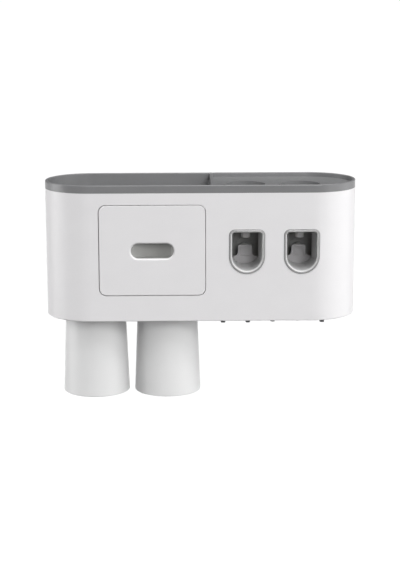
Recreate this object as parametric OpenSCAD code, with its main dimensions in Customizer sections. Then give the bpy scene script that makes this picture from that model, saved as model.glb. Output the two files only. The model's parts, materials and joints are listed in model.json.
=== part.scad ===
// Wall-hung bathroom organiser: two push-lever toothpaste dispensers, a drawer,
// a lift-off tray, a toothbrush rack and two cups that hang from magnets.
// X runs to the right, Y into the wall (the wall is y = 0) and Z up.

/* [Casing] */
// Width of the casing, left to right
body_w = 320; // [300:1:360]
// Depth of the casing, front to back
body_d = 94; // [90:0.5:100]
// Height of the white shell
shell_h = 132; // [128:0.5:140]
// Height of the grey tray's rim above the shell
rim_h = 8; // [6:0.5:10]
// Wall of the shell and of the other casing pieces
wall = 2.5; // [2:0.1:3]
// Radius on the shell's lower edge
shell_edge_r = 1; // [0.4:0.1:1.2]
// Loose gap between pieces that only lie beside each other
gap = 0.3; // [0.2:0.05:0.5]

/* [Drawer] */
// Distance from the casing's left end to the drawer's face
face_inset = 56.6; // [52:0.2:64]
// Distance from the drawer's face to the tray's divider
face_side = 6.2; // [5.6:0.1:8]
// White strip above the drawer's face
face_drop = 12.4; // [11:0.2:20]
// Corner radius of the drawer's face
face_r = 7; // [4:0.5:10]
// Thickness of the drawer's face
face_t = 3; // [2.5:0.1:4]
// Visible gap round the drawer's face
face_gap = 0.6; // [0.4:0.1:1]
// Lower edge of the drawer's face above the shell's lower edge
face_rise = 27.2; // [25:0.2:28]
// Room between the drawer's box and the casing's back face
box_room = 15; // [14:0.5:30]
// Wall of the drawer's box
box_wall = 2; // [1.5:0.1:2.5]
// Width of the finger slot
slot_w = 43.4; // [38:0.2:50]
// Height of the finger slot
slot_h = 15.4; // [13:0.2:18]
// Chamfer round the finger slot
slot_edge = 1.3; // [0.6:0.1:1.8]
// Chamfer round the drawer's face
face_edge = 0.5; // [0.2:0.1:0.8]
// Depth of the finger cup behind the face
cup_scoop = 12; // [8:0.5:16]

/* [Dispensers] */
// Distance from the right dispenser's centre to the casing's right end
pump_inset = 57.9; // [57:0.1:60]
// Distance between the two dispensers
pump_pitch = 55.7; // [54:0.1:58]
// Width of a window
win_w = 36.5; // [34:0.5:38]
// Height of a window
win_h = 45.7; // [42:0.1:48]
// Height of a window's centre above the shell's lower edge
win_rise = 71.75; // [70:0.25:73]
// Radius of a window's upper corners
win_r = 6; // [4:0.5:8]
// Width of the clear ring in a window
ring_t = 2.3; // [1.8:0.1:3]
// How far the clear ring stands proud of the shell
ring_proud = 0.8; // [0.4:0.1:1.2]
// Width of the slope on the clear ring's inner edge
ring_slope = 1.3; // [0.6:0.1:1.5]
// Width of a dispenser's case
case_w = 44; // [42:0.5:46]
// Room between a dispenser's case and the casing's back face
case_room = 14.1; // [13.8:0.1:15]
// Wall of a dispenser's case
case_wall = 2; // [1.6:0.1:2.2]
// Width of the brush pocket where the lever stands
pocket_w = 26.4; // [25:0.2:28]
// Depth of the nozzle and tube inlet behind the front
inlet_depth = 33; // [32:0.5:35]
// Radius of the bore that takes the tube's neck
neck_r = 6.5; // [5:0.25:7]
// Radius of the nozzle's tip
nozzle_tip_r = 4.5; // [4:0.1:4.5]
// Height of the nozzle's tip above the window's centre
nozzle_rise = 9.4; // [8:0.2:11]
// Width of the lever's tongue
tongue_w = 15; // [13:0.5:17]
// Height of the lever's tongue above its pin
tongue_h = 23.3; // [22:0.1:24]
// Thickness of the lever
lever_t = 2.4; // [2:0.1:2.6]
// Radius of the lever's pin
pin_r = 1.25; // [1:0.05:1.5]
// Radius of the pump's bore
bore_r = 7; // [6:0.25:7.5]
// Depth of the pump's bore
bore_depth = 11.5; // [11:0.25:13]
// Running clearance of pins and pistons
running = 0.08; // [0.05:0.01:0.1]

/* [Tray] */
// Thickness of the tray's rim
rim_t = 3; // [2.6:0.1:4]
// Radius on the rim's upper edges
rim_edge_r = 1; // [0.4:0.1:1.2]
// Depth of the storage basin below the rim
basin_depth = 15; // [10:0.5:15.5]
// Depth of the tube deck below the rim
deck_depth = 4.5; // [3:0.5:5]
// Floor thickness of the tray
tray_t = 2; // [1.6:0.1:2.4]
// Left side of the divider, from the casing's centre
divider_x = 10.4; // [8:0.2:12]
// Thickness of the divider
divider_t = 2.8; // [2:0.1:4]
// Radius of a tube well
well_r = 20; // [18:0.5:21]

/* [Cups] */
// Outer radius of a cup at its mouth
cup_mouth_r = 34.6; // [32:0.2:36]
// Outer radius of a cup at its base
cup_base_r = 30.9; // [29:0.1:32]
// Height of a cup
cup_h = 96; // [90:1:100]
// Wall of a cup
cup_wall = 2; // [1.6:0.1:2.6]
// Distance from the casing's left end to the left cup's centre
cup_inset = 50.2; // [48:0.2:54]
// Distance between the two cups
cup_pitch = 74.8; // [73:0.2:76]
// How far the cups' bases sit up inside the shell
cup_tuck = 12.6; // [12:0.2:14]
// Radius of a magnet
magnet_r = 13; // [10:0.5:15]

/* [Toothbrush rack] */
// Width of a toothbrush slot
brush_slot_w = 9; // [8:0.5:11]
// Distance from the rack to the casing's right end
rack_inset = 26.5; // [26:0.5:34]
// Height of the ribs below the shell's lower edge
rib_drop = 6; // [5:0.1:7]
// Width of a rib
rib_w = 4.6; // [3.5:0.1:6]
// Gap between the rack's tips and the front's outer face
rack_setback = 18; // [17:0.5:22]

/* [Wall plate] */
// Width of the wall plate
plate_w = 160; // [140:1:170]
// Height of the wall plate
plate_h = 56; // [50:1:58]
// Thickness of the wall plate
plate_t = 2.6; // [2.2:0.1:3]
// Thickness of the adhesive pad
pad_t = 1; // [0.6:0.1:1.2]
// Distance between the two hooks
hook_pitch = 100; // [90:1:110]
// Width of a hook
hook_w = 18; // [12:1:22]
// Height of a hook's tongue
hook_h = 8; // [6:0.5:9]
// How far the casing lifts to come off the hooks
lift = 12.5; // [12:0.1:13]
// Distance from the wall plate's end to its screw hole
wall_screw_inset = 13; // [10:0.5:14]
// Radius of a screw hole
wall_screw_r = 2.25; // [2:0.05:2.5]

/* [Hidden] */
$fn = 96;

// Places of the casing
body_h = shell_h + rim_h;
front_y = -(pad_t + body_d);
mid_y = -(pad_t + body_d / 2);
back_y = -pad_t;
top_z = body_h / 2;
shell_top_z = top_z - rim_h;
foot_z = -body_h / 2;
inner_w = body_w - 2 * wall;
inner_d = body_d - 2 * wall;
end_x = body_w / 2 - body_d / 2;
lap_t = 1.2;
lap_h = basin_depth + tray_t - rim_h + gap;

// Places of the drawer
face_x0 = face_inset - body_w / 2;
face_x1 = divider_x - face_side;
face_w = face_x1 - face_x0;
face_h = shell_h - face_rise - face_drop;
drawer_x = (face_x0 + face_x1) / 2;
face_z = foot_z + face_rise + face_h / 2;
box_depth = body_d - face_t - box_room;
box_lap = 4.8;
box_w = face_w - 2 * box_lap;
box_z0 = face_z - face_h / 2 + 1;
box_z1 = face_z + face_h / 2 - 6;
box_y0 = front_y + face_t;
guide_t = 2;
guide_side = 24;
slot_z = face_z - 0.6;
scoop_wall = 1.6;
guide_screw_inset = 10;
guide_screw_y = 32;
face_screw_inset = 12;
face_screw_z = 28;

// Places of the base plate: a low floor over the cups and a high one over the brushes
cup_top_z = foot_z + cup_tuck;
seat_gap = 0.2;
seat_z = cup_top_z + seat_gap;
seat_ring_h = 5.2;
low_z = seat_z + seat_ring_h;
step_x = divider_x + 1.6;
case_foot = 29.25;
win_z = foot_z + win_rise;
high_top_z = win_z - case_foot;
high_z = high_top_z - wall;
magnet_h = 4;
cup_cap_h = 1;
cup_magnet_h = 2;
cup_base_t = 5.2;

// Posts in the shell that take the base plate's screws, as [x, y, radius, base plate's top]
post_r = 3.5;
post_h = 12;
post_mid_x = step_x - post_r - 1;
side_post_x = body_w / 2 - wall - 6;
back_post_x = end_x - 1;
back_post_y = back_y - wall - post_r;
posts = [
    [-side_post_x, mid_y, low_z + wall],
    [side_post_x, mid_y, high_top_z],
    [post_mid_x, front_y + wall + post_r, low_z + wall],
    [-back_post_x, back_post_y, low_z + wall],
    [back_post_x, back_post_y, high_top_z]
];
screw_r = 1.25;
screw_hole_r = 1.5;
pilot_r = screw_r + 0.04;
seat_rim = 11;
wall_screw_pitch = plate_w - 2 * wall_screw_inset;
plate_r = 8;
pad_inset = 3;
pad_r = 6;
// Share of the ribs' full depth on each prong, left to right
rib_share = [1, 1, 0.85, 0.7, 1];
guide_foot_r = 4;
block_screw_r = 2.6;
head_r = 2.8;
head_h = 1.8;

// Places of the back cover
side_lap = 8;
end_lap = 6;
opening_margin = 2.5;
opening_inset = 15;
opening_w = 2 * (end_x - opening_inset);
opening_z0 = -plate_h / 2 - lift - opening_margin;
opening_z1 = plate_h / 2 + opening_margin;
opening_h = opening_z1 - opening_z0;
opening_z = (opening_z0 + opening_z1) / 2;
cover_y = back_y - wall - gap;
cover_w = opening_w + 2 * side_lap;
cover_h = opening_h + 2 * end_lap;
cover_boss_h = 3;
cover_boss_r = 2.9;
cover_screw_inset = 4;
cover_head_t = 1.4;
cover_screws = [
    for (x = [-1, 1]) for (z = [-1, 0, 1])
        [x * (opening_w + side_lap) / 2, opening_z + z * (opening_h / 2 - cover_screw_inset)]
];

// Places of the hooks
hook_floor_t = 3;
hook_seat_z = 10;
hook_throat = wall + gap + 0.4;
hook_t = 2.5;
cover_slot_h = lift + hook_floor_t + 0.5;

// Places inside a dispenser, from its window's centre at the shell's front
ring_flange_y = wall + 0.2;
ring_flange_t = 2;
ring_tab_w = 20;
ring_tab_h = 2.5;
ring_edge_r = 0.6;
case_y = ring_flange_y + ring_flange_t + 0.2;
block_end = body_d - case_room;
case_d = block_end - case_y;
pump_x = body_w / 2 - pump_inset - pump_pitch;
case_top = 46;
open_w = win_w - 2 * ring_t;
open_h = win_h - 2 * ring_t;
rod_r = 3;
tip_gap = 0.2;
flange_t = 1;
flange_r = 6;
gland_t = 1.5;
spring_room = 11.2;
bore_end_t = 3.9;
block_y = block_end - bore_end_t - bore_depth;
gland_y = block_y - gland_t;
flange_y = gland_y - spring_room - flange_t;
tip_y = flange_y - 0.2 - rod_r;
lever_y = tip_y - tip_gap - lever_t;
pin_y = lever_y + lever_t / 2;
pin_z = -(open_h / 2 + 3.65);
hub_r = 2.8;
hub_half = 8.6;
lever_foot = hub_r + 0.9;
lug_t = 3;
lug_rise = 2.7;
trough_end = pin_y - hub_r - 0.6;
tongue_top = pin_z + tongue_h;
shoulder_z = pin_z + 11.55;
rod_z = pin_z + 18.2;
head_y = block_y + 0.2;
head_len = 3.4;
seal_r = 0.7;
spring_wire = 0.35;
spring_r = 4.6;
spring_turns = 5;
hub_z0 = 28;
hub_z1 = 42;
inlet_hub_r = 9;
collar_top = 54;
collar_r = 15;
duct_r = 2.5;
duct_wall = 2.5;
duct_z = (hub_z0 + hub_z1) / 2;
block_r = bore_r + 3;
block_half = bore_r + 5;
column_half = 7;
case_screw_x = 14;
case_screw_y0 = case_y + 14;
case_screw_y1 = block_end - 19;
case_post_h = 4.5;
case_post_r = 3;
riser_y = block_y + bore_depth - 1;
valve_t = 0.8;
roof_z = open_h / 2;
nozzle_flange_t = 1.5;
nozzle_flange_r = 8;
nozzle_bore = 2.2;
nozzle_taper = 0.65;
nozzle_edge = 0.5;

// Rounded slot or plate outline with straight long sides, centred
module stadium(w, d) {
    square([w - d, d], center = true);
    for (s = [-1, 1]) translate([s * (w - d) / 2, 0]) circle(r = d / 2);
}

// Rectangle with round corners, centred
module round_rect(w, h, r) {
    square([w - 2 * r, h], center = true);
    square([w, h - 2 * r], center = true);
    for (sx = [-1, 1]) for (sz = [-1, 1])
        translate([sx * (w / 2 - r), sz * (h / 2 - r)]) circle(r = r);
}

// Window outline: round upper corners and a half-round foot, centred
module window_shape(w, h, r) {
    translate([0, w / 2 - h / 2]) circle(r = w / 2);
    translate([-w / 2, w / 2 - h / 2]) square([w, h - w / 2 - r]);
    translate([-w / 2 + r, h / 2 - r]) square([w - 2 * r, r]);
    for (s = [-1, 1]) translate([s * (w / 2 - r), h / 2 - r]) circle(r = r);
}

// Casing outline as a block from z0 to z1
module casing_block(w, d, z0, z1) {
    translate([0, mid_y, z0]) linear_extrude(z1 - z0) stadium(w, d);
}

// An outline in X and Z, drawn as a block from y0 to y1
module front_block(y0, y1) {
    translate([0, y1, 0]) rotate([90, 0, 0]) linear_extrude(y1 - y0) children();
}

// A profile of (distance from the outer face, height) led round a stadium
module around(w, d) {
    r = d / 2;
    run = w - d;
    translate([0, mid_y, 0]) {
        for (s = [0, 1]) mirror([s, 0, 0])
            translate([run / 2, 0, 0]) rotate([0, 0, -90])
                rotate_extrude(angle = 180) translate([r, 0]) children();
        for (s = [0, 1]) mirror([0, s, 0])
            translate([-run / 2, 0, 0]) rotate([90, 0, 90])
                linear_extrude(run) translate([r, 0]) children();
    }
}

// A profile of (distance out from the outline, height towards the front) led round a
// rectangle with upper corner radius rt and lower corner radius rb
module around_outline(w, h, rt, rb) {
    rotate([90, 0, 0]) {
        for (s = [0, 1]) mirror([s, 0, 0]) {
            translate([w / 2 - rt, h / 2 - rt, 0])
                rotate_extrude(angle = 90) translate([rt, 0]) children();
            translate([w / 2 - rb, rb - h / 2, 0]) rotate([0, 0, -90])
                rotate_extrude(angle = 90) translate([rb, 0]) children();
            translate([w / 2, h / 2 - rt, 0]) rotate([90, 0, 0])
                linear_extrude(h - rt - rb) children();
        }
        translate([rt - w / 2, h / 2, 0]) rotate([90, 0, 90])
            linear_extrude(w - 2 * rt) children();
        if (w > 2 * rb) mirror([0, 1, 0]) translate([rb - w / 2, h / 2, 0])
            rotate([90, 0, 90]) linear_extrude(w - 2 * rb) children();
    }
}

// Section of the cut that chamfers an outline's front edge
module chamfer_cut(c) {
    polygon([[-c, 0], [-c, 1], [1, 1], [1, -c], [0, -c]]);
}

// A cylinder along Y from y0 to y1
module rod_y(r, y0, y1) {
    translate([0, y1, 0]) rotate([90, 0, 0]) cylinder(r = r, h = y1 - y0);
}

// A cylinder along X, centred
module rod_x(r, length) {
    rotate([0, 90, 0]) cylinder(r = r, h = length, center = true);
}

// Pan-head screw pointing up, with the underside of its head at z = 0
module screw_up(length) {
    cylinder(r = screw_r, h = length);
    translate([0, 0, -head_h]) cylinder(r = head_r, h = head_h);
}

module wall_plate() {
    color("whitesmoke") difference() {
        union() {
            front_block(back_y - plate_t, back_y) round_rect(plate_w, plate_h, plate_r);
            for (s = [-1, 1]) translate([s * hook_pitch / 2, 0, 0]) hook();
        }
        for (s = [-1, 1]) translate([s * wall_screw_pitch / 2, 0, 0])
            rod_y(wall_screw_r, back_y - plate_t - 1, back_y + 1);
    }
}

// Upturned hook on the wall plate
module hook() {
    reach = plate_t + hook_throat + hook_t;
    translate([-hook_w / 2, back_y - reach, hook_seat_z - hook_floor_t])
        cube([hook_w, reach, hook_floor_t]);
    translate([-hook_w / 2, back_y - reach, hook_seat_z - hook_floor_t])
        cube([hook_w, hook_t, hook_floor_t + hook_h]);
}

module adhesive_pad() {
    hole_r = wall_screw_r + 0.75;
    color("gainsboro") difference() {
        front_block(back_y, 0) round_rect(plate_w - 2 * pad_inset, plate_h - 2 * pad_inset, pad_r);
        for (s = [-1, 1]) translate([s * wall_screw_pitch / 2, 0, 0])
            rod_y(hole_r, back_y - 1, 1);
    }
}

module main_shell() {
    color("whitesmoke") {
        difference() {
            around(body_w, body_d) shell_profile();
            shell_openings();
        }
        difference() {
            shell_posts();
            for (p = posts) translate([p[0], p[1], p[2] - 1])
                cylinder(r = pilot_r, h = post_h - 1);
        }
    }
}

// Section of the shell's wall: round outer lower edge, thinner where the tray sits in it
module shell_profile() {
    r = shell_edge_r;
    full_h = shell_h - lap_h;
    translate([-wall, foot_z]) square([wall - r, full_h]);
    translate([-wall, foot_z + r]) square([wall, full_h - r]);
    translate([-r, foot_z + r]) circle(r = r);
    translate([-lap_t, foot_z + full_h - 1]) square([lap_t, lap_h + 1]);
}

module shell_openings() {
    y0 = front_y - 1;
    y1 = front_y + wall + 1;
    front_block(y0, y1) translate([drawer_x, face_z])
        round_rect(face_w + 2 * face_gap, face_h + 2 * face_gap, face_r + face_gap);
    for (i = [0, 1]) front_block(y0, y1) translate([pump_x + i * pump_pitch, win_z])
        window_shape(win_w + gap, win_h + gap, win_r + gap / 2);
    front_block(back_y - wall - 1, back_y + 1) translate([0, opening_z])
        round_rect(opening_w, opening_h, 5);
    for (p = cover_screws) translate([p[0], 0, p[1]]) {
        rod_y(screw_hole_r, back_y - wall - 1, back_y + 1);
        rod_y(head_r, back_y - cover_head_t, back_y + 1);
    }
}

// Screw posts, each with a web to the shell's wall
module shell_posts() {
    for (p = posts) intersection() {
        union() {
            translate([p[0], p[1], p[2]]) cylinder(r = post_r, h = post_h);
            post_web(p);
        }
        casing_block(body_w - wall, body_d - wall, foot_z, shell_top_z);
    }
}

module post_web(p) {
    side = abs(p[0]) > end_x;
    reach = post_r + wall;
    dx = side ? sign(p[0]) * reach / 2 : 0;
    dy = side ? 0 : sign(p[1] - mid_y) * reach / 2;
    translate([p[0] + dx, p[1] + dy, p[2] + post_h / 2])
        cube([side ? reach : 2, side ? 2 : reach, post_h], center = true);
}

module back_cover() {
    color("white") difference() {
        union() {
            front_block(cover_y - wall, cover_y) translate([0, opening_z])
                round_rect(cover_w, cover_h, 6);
            for (p = cover_screws) translate([p[0], 0, p[1]])
                rod_y(cover_boss_r, cover_y - wall - cover_boss_h, cover_y - wall);
        }
        for (p = cover_screws) translate([p[0], 0, p[1]])
            rod_y(pilot_r, cover_y - wall - cover_boss_h - 1, cover_y + 1);
        for (s = [-1, 1])
            translate([s * hook_pitch / 2 - hook_w / 2 - 1, cover_y - wall - 1,
                       hook_seat_z - cover_slot_h])
                cube([hook_w + 2, wall + 2, cover_slot_h]);
    }
}

module back_cover_screws() {
    tip_y = cover_y - wall - cover_boss_h;
    color("silver") for (p = cover_screws) translate([p[0], 0, p[1]]) {
        rod_y(screw_r, tip_y, back_y - cover_head_t);
        rod_y(head_r - 0.15, back_y - cover_head_t, back_y - 0.1);
    }
}

module under_plate() {
    w = inner_w - 2 * gap;
    d = inner_d - 2 * gap;
    color("white") difference() {
        union() {
            plate_part(w, d, low_z, low_z + wall, -body_w, step_x + wall);
            plate_part(w, d, high_z, high_top_z, step_x, body_w);
            plate_part(w, d, low_z, high_top_z, step_x, step_x + wall);
            for (i = [0, 1]) cup_at(i) translate([0, 0, seat_z])
                cylinder(r = magnet_r + seat_rim, h = seat_ring_h);
        }
        for (i = [0, 1]) cup_at(i) translate([0, 0, seat_z - 1])
            cylinder(r = magnet_r + 0.2, h = seat_ring_h + 1);
        for (p = posts) translate([p[0], p[1], p[2] - wall - 1])
            cylinder(r = screw_hole_r, h = wall + 2);
        for (p = concat(guide_feet(), case_feet()))
            translate([p[0], p[1], low_z - 1]) cylinder(r = screw_hole_r, h = body_h / 3);
        for (p = rack_feet())
            translate([p[0], p[1], high_z - 1]) cylinder(r = pilot_r, h = wall + 2);
        translate([-cover_w / 2 - gap, cover_y - wall - gap, opening_z - cover_h / 2 - gap])
            cube([cover_w + 2 * gap, body_d, cover_h]);
    }
}

// The part of a casing-shaped plate between x0 and x1
module plate_part(w, d, z0, z1, x0, x1) {
    intersection() {
        casing_block(w, d, z0, z1);
        translate([x0, -body_w, z0 - 1]) cube([x1 - x0, 2 * body_w, z1 - z0 + 2]);
    }
}

module cup_at(i) {
    cup_x = cup_inset - body_w / 2;
    translate([cup_x + i * cup_pitch, mid_y, 0]) children();
}

module under_plate_screws() {
    color("silver") for (p = posts) translate([p[0], p[1], p[2] - wall])
        screw_up(wall + post_h - 4);
}

module seat_magnets() {
    color("dimgray") for (i = [0, 1]) cup_at(i)
        translate([0, 0, low_z - magnet_h]) cylinder(r = magnet_r, h = magnet_h);
}

module seat_magnet_caps() {
    cap_h = seat_ring_h - magnet_h;
    color("lightgray") for (i = [0, 1]) cup_at(i)
        translate([0, 0, seat_z]) cylinder(r = magnet_r + 0.1, h = cap_h);
}

// Places of the screws that come up through the base plate
function guide_feet() = [
    for (sx = [-1, 1]) for (sy = [-1, 1])
        [drawer_x + sx * (box_w / 2 - guide_screw_inset), mid_y + sy * guide_screw_y]
];
function rack_feet() = [for (s = [-1, 1]) [rack_x + s * prong_pitch, rack_back_y - rack_screw_y]];
function case_feet() = [
    for (i = [0, 1]) for (p = case_foot_places())
        [pump_x + i * pump_pitch + p[0], front_y + p[1]]
];
function case_foot_places() = [
    for (sx = [-1, 1]) for (y = [case_screw_y0, case_screw_y1]) [sx * case_screw_x, y]
];

// Places of the toothbrush rack
rack_back_y = back_y - wall - 8.5;
rack_front_y = front_y + rack_setback;
rack_t = 2.5;
rack_z = foot_z - 2;
rack_x0 = step_x + wall;
rack_w = body_w / 2 - rack_inset - rack_x0;
rack_x = rack_x0 + rack_w / 2;
prong_w = (rack_w - 4 * brush_slot_w) / 5;
prong_pitch = prong_w + brush_slot_w;
slot_depth = 50;
rack_foot_d = 16;
rack_screw_y = 9;

module toothbrush_rack() {
    x0 = rack_x0;
    length = rack_back_y - rack_front_y;
    color("gray") difference() {
        union() {
            difference() {
                translate([x0, rack_front_y, rack_z]) cube([rack_w, length, rack_t]);
                for (i = [0:3]) translate([x0 + prong_w + i * prong_pitch, 0, rack_z])
                    brush_slot();
            }
            for (i = [0:4]) rack_rib(x0 + prong_w / 2 + i * prong_pitch, rib_share[i]);
            translate([x0, rack_back_y - rack_t, rack_z])
                cube([rack_w, rack_t, high_z - rack_z]);
            translate([x0, rack_back_y - rack_foot_d, high_z - rack_t])
                cube([rack_w, rack_foot_d, rack_t]);
        }
        for (p = rack_feet()) translate([p[0], p[1], high_z - rack_t - 1])
            cylinder(r = screw_hole_r, h = rack_t + 2);
    }
}

// Slot for a brush's neck, open at the front and round at the back
module brush_slot() {
    r = brush_slot_w / 2;
    translate([0, rack_front_y - 1, -1]) cube([brush_slot_w, slot_depth - r + 1, rack_t + 2]);
    translate([r, rack_front_y + slot_depth - r, -1]) cylinder(r = r, h = rack_t + 2);
}

// Rib under a prong, with a round nose at its front
module rack_rib(x, share) {
    z0 = foot_z - rib_drop * share;
    length = slot_depth + 8;
    translate([x - rib_w / 2, rack_front_y + rib_w / 2, z0])
        cube([rib_w, length - rib_w / 2, rack_z - z0]);
    translate([x, rack_front_y + rib_w / 2, z0]) cylinder(r = rib_w / 2, h = rack_z - z0);
}

module rack_screws() {
    color("silver") for (p = rack_feet()) translate([p[0], p[1], high_z - rack_t])
        screw_up(rack_t + wall - 0.3);
}

module drawer_guide() {
    w = box_w + 2 * (gap + 0.1 + guide_t);
    z0 = box_z0 - gap - guide_t;
    y0 = front_y + max(wall, face_t) + gap;
    y1 = box_y0 + box_depth + gap + guide_t;
    foot_h = z0 - (low_z + wall);
    color("gainsboro") difference() {
        union() {
            difference() {
                translate([drawer_x - w / 2, y0, z0]) cube([w, y1 - y0, guide_side]);
                translate([drawer_x - w / 2 + guide_t, y0 - 1, z0 + guide_t])
                    cube([w - 2 * guide_t, y1 - y0 - guide_t + 1, guide_side]);
            }
            for (p = guide_feet()) translate([p[0], p[1], z0 - foot_h])
                cylinder(r = guide_foot_r, h = foot_h + guide_t / 2);
        }
        for (p = guide_feet()) translate([p[0], p[1], z0 - foot_h - 1])
            cylinder(r = pilot_r, h = foot_h + 1);
    }
}

module guide_screws() {
    color("silver") for (p = guide_feet()) translate([p[0], p[1], low_z])
        screw_up(wall + 3);
}

module drawer_box() {
    h = box_z1 - box_z0;
    color("white") difference() {
        translate([drawer_x - box_w / 2, box_y0, box_z0]) cube([box_w, box_depth, h]);
        translate([drawer_x - box_w / 2 + box_wall, box_y0 + box_wall, box_z0 + box_wall])
            cube([box_w - 2 * box_wall, box_depth - 2 * box_wall, h]);
        front_block(box_y0 - 1, box_y0 + box_wall + 1) translate([drawer_x, slot_z])
            round_rect(slot_w + 2 * scoop_wall + 2 * gap, slot_h + 2 * scoop_wall + 2 * gap, 2);
        for (p = face_screw_places()) translate([p[0], 0, p[1]])
            rod_y(screw_hole_r, box_y0 - 1, box_y0 + box_wall + 1);
    }
}

function face_screw_places() = [
    for (sx = [-1, 1]) for (sz = [-1, 1])
        [drawer_x + sx * (box_w / 2 - face_screw_inset), slot_z + sz * face_screw_z]
];

module drawer_face() {
    y1 = front_y + face_t;
    color("whitesmoke") difference() {
        front_block(front_y, y1) translate([drawer_x, face_z]) round_rect(face_w, face_h, face_r);
        translate([drawer_x, front_y, face_z])
            around_outline(face_w, face_h, face_r, face_r) chamfer_cut(face_edge);
        front_block(front_y - 1, y1 + 1) translate([drawer_x, slot_z]) stadium(slot_w, slot_h);
        translate([drawer_x, front_y, slot_z]) slot_chamfer();
        for (p = face_screw_places()) translate([p[0], 0, p[1]])
            rod_y(pilot_r, y1 - 2.2, y1 + 1);
    }
}

// Widening of the finger slot towards the front
module slot_chamfer() {
    c = slot_edge;
    r = slot_h / 2;
    run = slot_w - slot_h;
    rotate([90, 0, 0]) {
        for (s = [-1, 1]) translate([s * run / 2, 0, -c])
            cylinder(r1 = r, r2 = r + c, h = c);
        translate([-run / 2, 0, -c]) rotate([90, 0, 90]) linear_extrude(run)
            polygon([[-r, 0], [r, 0], [r + c, c], [-r - c, c]]);
    }
}

// Finger pull behind the slot: a block with a hollow that is round in plan
module finger_cup() {
    w = slot_w + 2 * scoop_wall;
    h = slot_h + 2 * scoop_wall;
    y0 = front_y + face_t;
    scoop_r = (slot_w * slot_w / 4 + cup_scoop * cup_scoop) / (2 * cup_scoop);
    color("gainsboro") translate([drawer_x, 0, slot_z]) difference() {
        front_block(y0, y0 + cup_scoop + scoop_wall - face_t) round_rect(w, h, 2);
        intersection() {
            front_block(y0 - 1, y0 + cup_scoop) stadium(slot_w, slot_h);
            translate([0, front_y + cup_scoop - scoop_r, -h]) cylinder(r = scoop_r, h = 2 * h);
        }
    }
}

module face_screws() {
    color("silver") for (p = face_screw_places()) translate([p[0], 0, p[1]]) {
        rod_y(screw_r, box_y0 - 2, box_y0 + box_wall);
        rod_y(head_r, box_y0 + box_wall, box_y0 + box_wall + head_h);
    }
}

module top_tray() {
    w = body_w - 2 * (lap_t + gap);
    d = body_d - 2 * (lap_t + gap);
    basin_z = top_z - basin_depth;
    deck_z = top_z - deck_depth;
    right_x = divider_x + divider_t;
    lip_z = shell_top_z - 4;
    color("gray") difference() {
        union() {
            around(body_w, body_d) rim_profile();
            tray_part(w, d, basin_z - tray_t, shell_top_z, -body_w, right_x);
            tray_part(w, d, lip_z, shell_top_z, right_x - 1, body_w);
            tray_part(body_w - 2 * rim_t + 1, body_d - 2 * rim_t + 1, shell_top_z,
                      deck_z, divider_x, body_w);
            plate_part(body_w - 2 * rim_t + 1, body_d - 2 * rim_t + 1,
                       shell_top_z, top_z - 0.6, divider_x, right_x);
            for (i = [0, 1]) well_at(i) translate([0, 0, well_z])
                cylinder(r = well_r + 2, h = deck_z + 1 - well_z);
        }
        basin_hollow(basin_z);
        tray_part(w - 4, d - 4, lip_z - 1, deck_z - tray_t, right_x + 1.2, body_w, true);
        for (i = [0, 1]) well_at(i) translate([0, 0, well_z - 1])
            cylinder(r = well_r, h = body_h);
    }
}
well_z = shell_top_z - 5.5;

module well_at(i) {
    translate([pump_x + i * pump_pitch, front_y + inlet_depth, 0]) children();
}

// The part of the tray between x0 and x1, less the tube wells' sleeves if asked
module tray_part(w, d, z0, z1, x0, x1, keep_wells = false) {
    difference() {
        plate_part(w, d, z0, z1, x0, x1);
        if (keep_wells) for (i = [0, 1]) well_at(i) translate([0, 0, z0 - 1])
            cylinder(r = well_r + 2, h = z1 - z0 + 2);
    }
}

// Section of the tray's rim, with round upper edges
module rim_profile() {
    r = rim_edge_r;
    translate([-rim_t, shell_top_z]) square([rim_t, rim_h - r]);
    translate([r - rim_t, shell_top_z]) square([rim_t - 2 * r, rim_h]);
    for (x = [r - rim_t, -r]) translate([x, top_z - r]) circle(r = r);
}

// Hollow of the storage basin: round at the left, with corner radii at the divider
module basin_hollow(z0) {
    w = body_w - 2 * rim_t;
    d = body_d - 2 * rim_t;
    corner = 4;
    translate([0, 0, z0]) linear_extrude(body_h) {
        translate([-end_x, mid_y]) circle(r = d / 2);
        translate([-end_x, mid_y - d / 2]) square([divider_x - corner + end_x, d]);
        translate([-end_x, mid_y - d / 2 + corner]) square([divider_x + end_x, d - 2 * corner]);
        for (s = [-1, 1]) translate([divider_x - corner, mid_y + s * (d / 2 - corner)])
            circle(r = corner);
    }
}

// A cup, mouth down, with a round lip and a pocket for its magnet in the base
module cup() {
    z0 = cup_top_z - cup_h;
    lip = cup_wall / 2;
    color("gainsboro") difference() {
        rotate_extrude() {
            polygon([
                [0, cup_top_z - cup_base_t], [cup_base_r - cup_wall, cup_top_z - cup_base_t],
                [cup_mouth_r - cup_wall, z0 + lip], [cup_mouth_r, z0 + lip],
                [cup_base_r, cup_top_z - 1], [cup_base_r - 1, cup_top_z], [0, cup_top_z]
            ]);
            translate([cup_mouth_r - lip, z0 + lip]) circle(r = lip, $fn = 32);
        }
        translate([0, 0, cup_top_z - cup_magnet_h - cup_cap_h])
            cylinder(r = magnet_r + 0.2, h = cup_base_t);
    }
}

module cup_magnet() {
    color("dimgray") translate([0, 0, cup_top_z - cup_magnet_h - cup_cap_h])
        cylinder(r = magnet_r, h = cup_magnet_h);
}

module cup_cap() {
    color("white") translate([0, 0, cup_top_z - cup_cap_h])
        cylinder(r = magnet_r + 0.1, h = cup_cap_h);
}

// Local frame of a dispenser: origin at its window's centre on the shell's front
module pump_at(i) {
    translate([pump_x + i * pump_pitch, front_y, win_z]) children();
}

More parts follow.
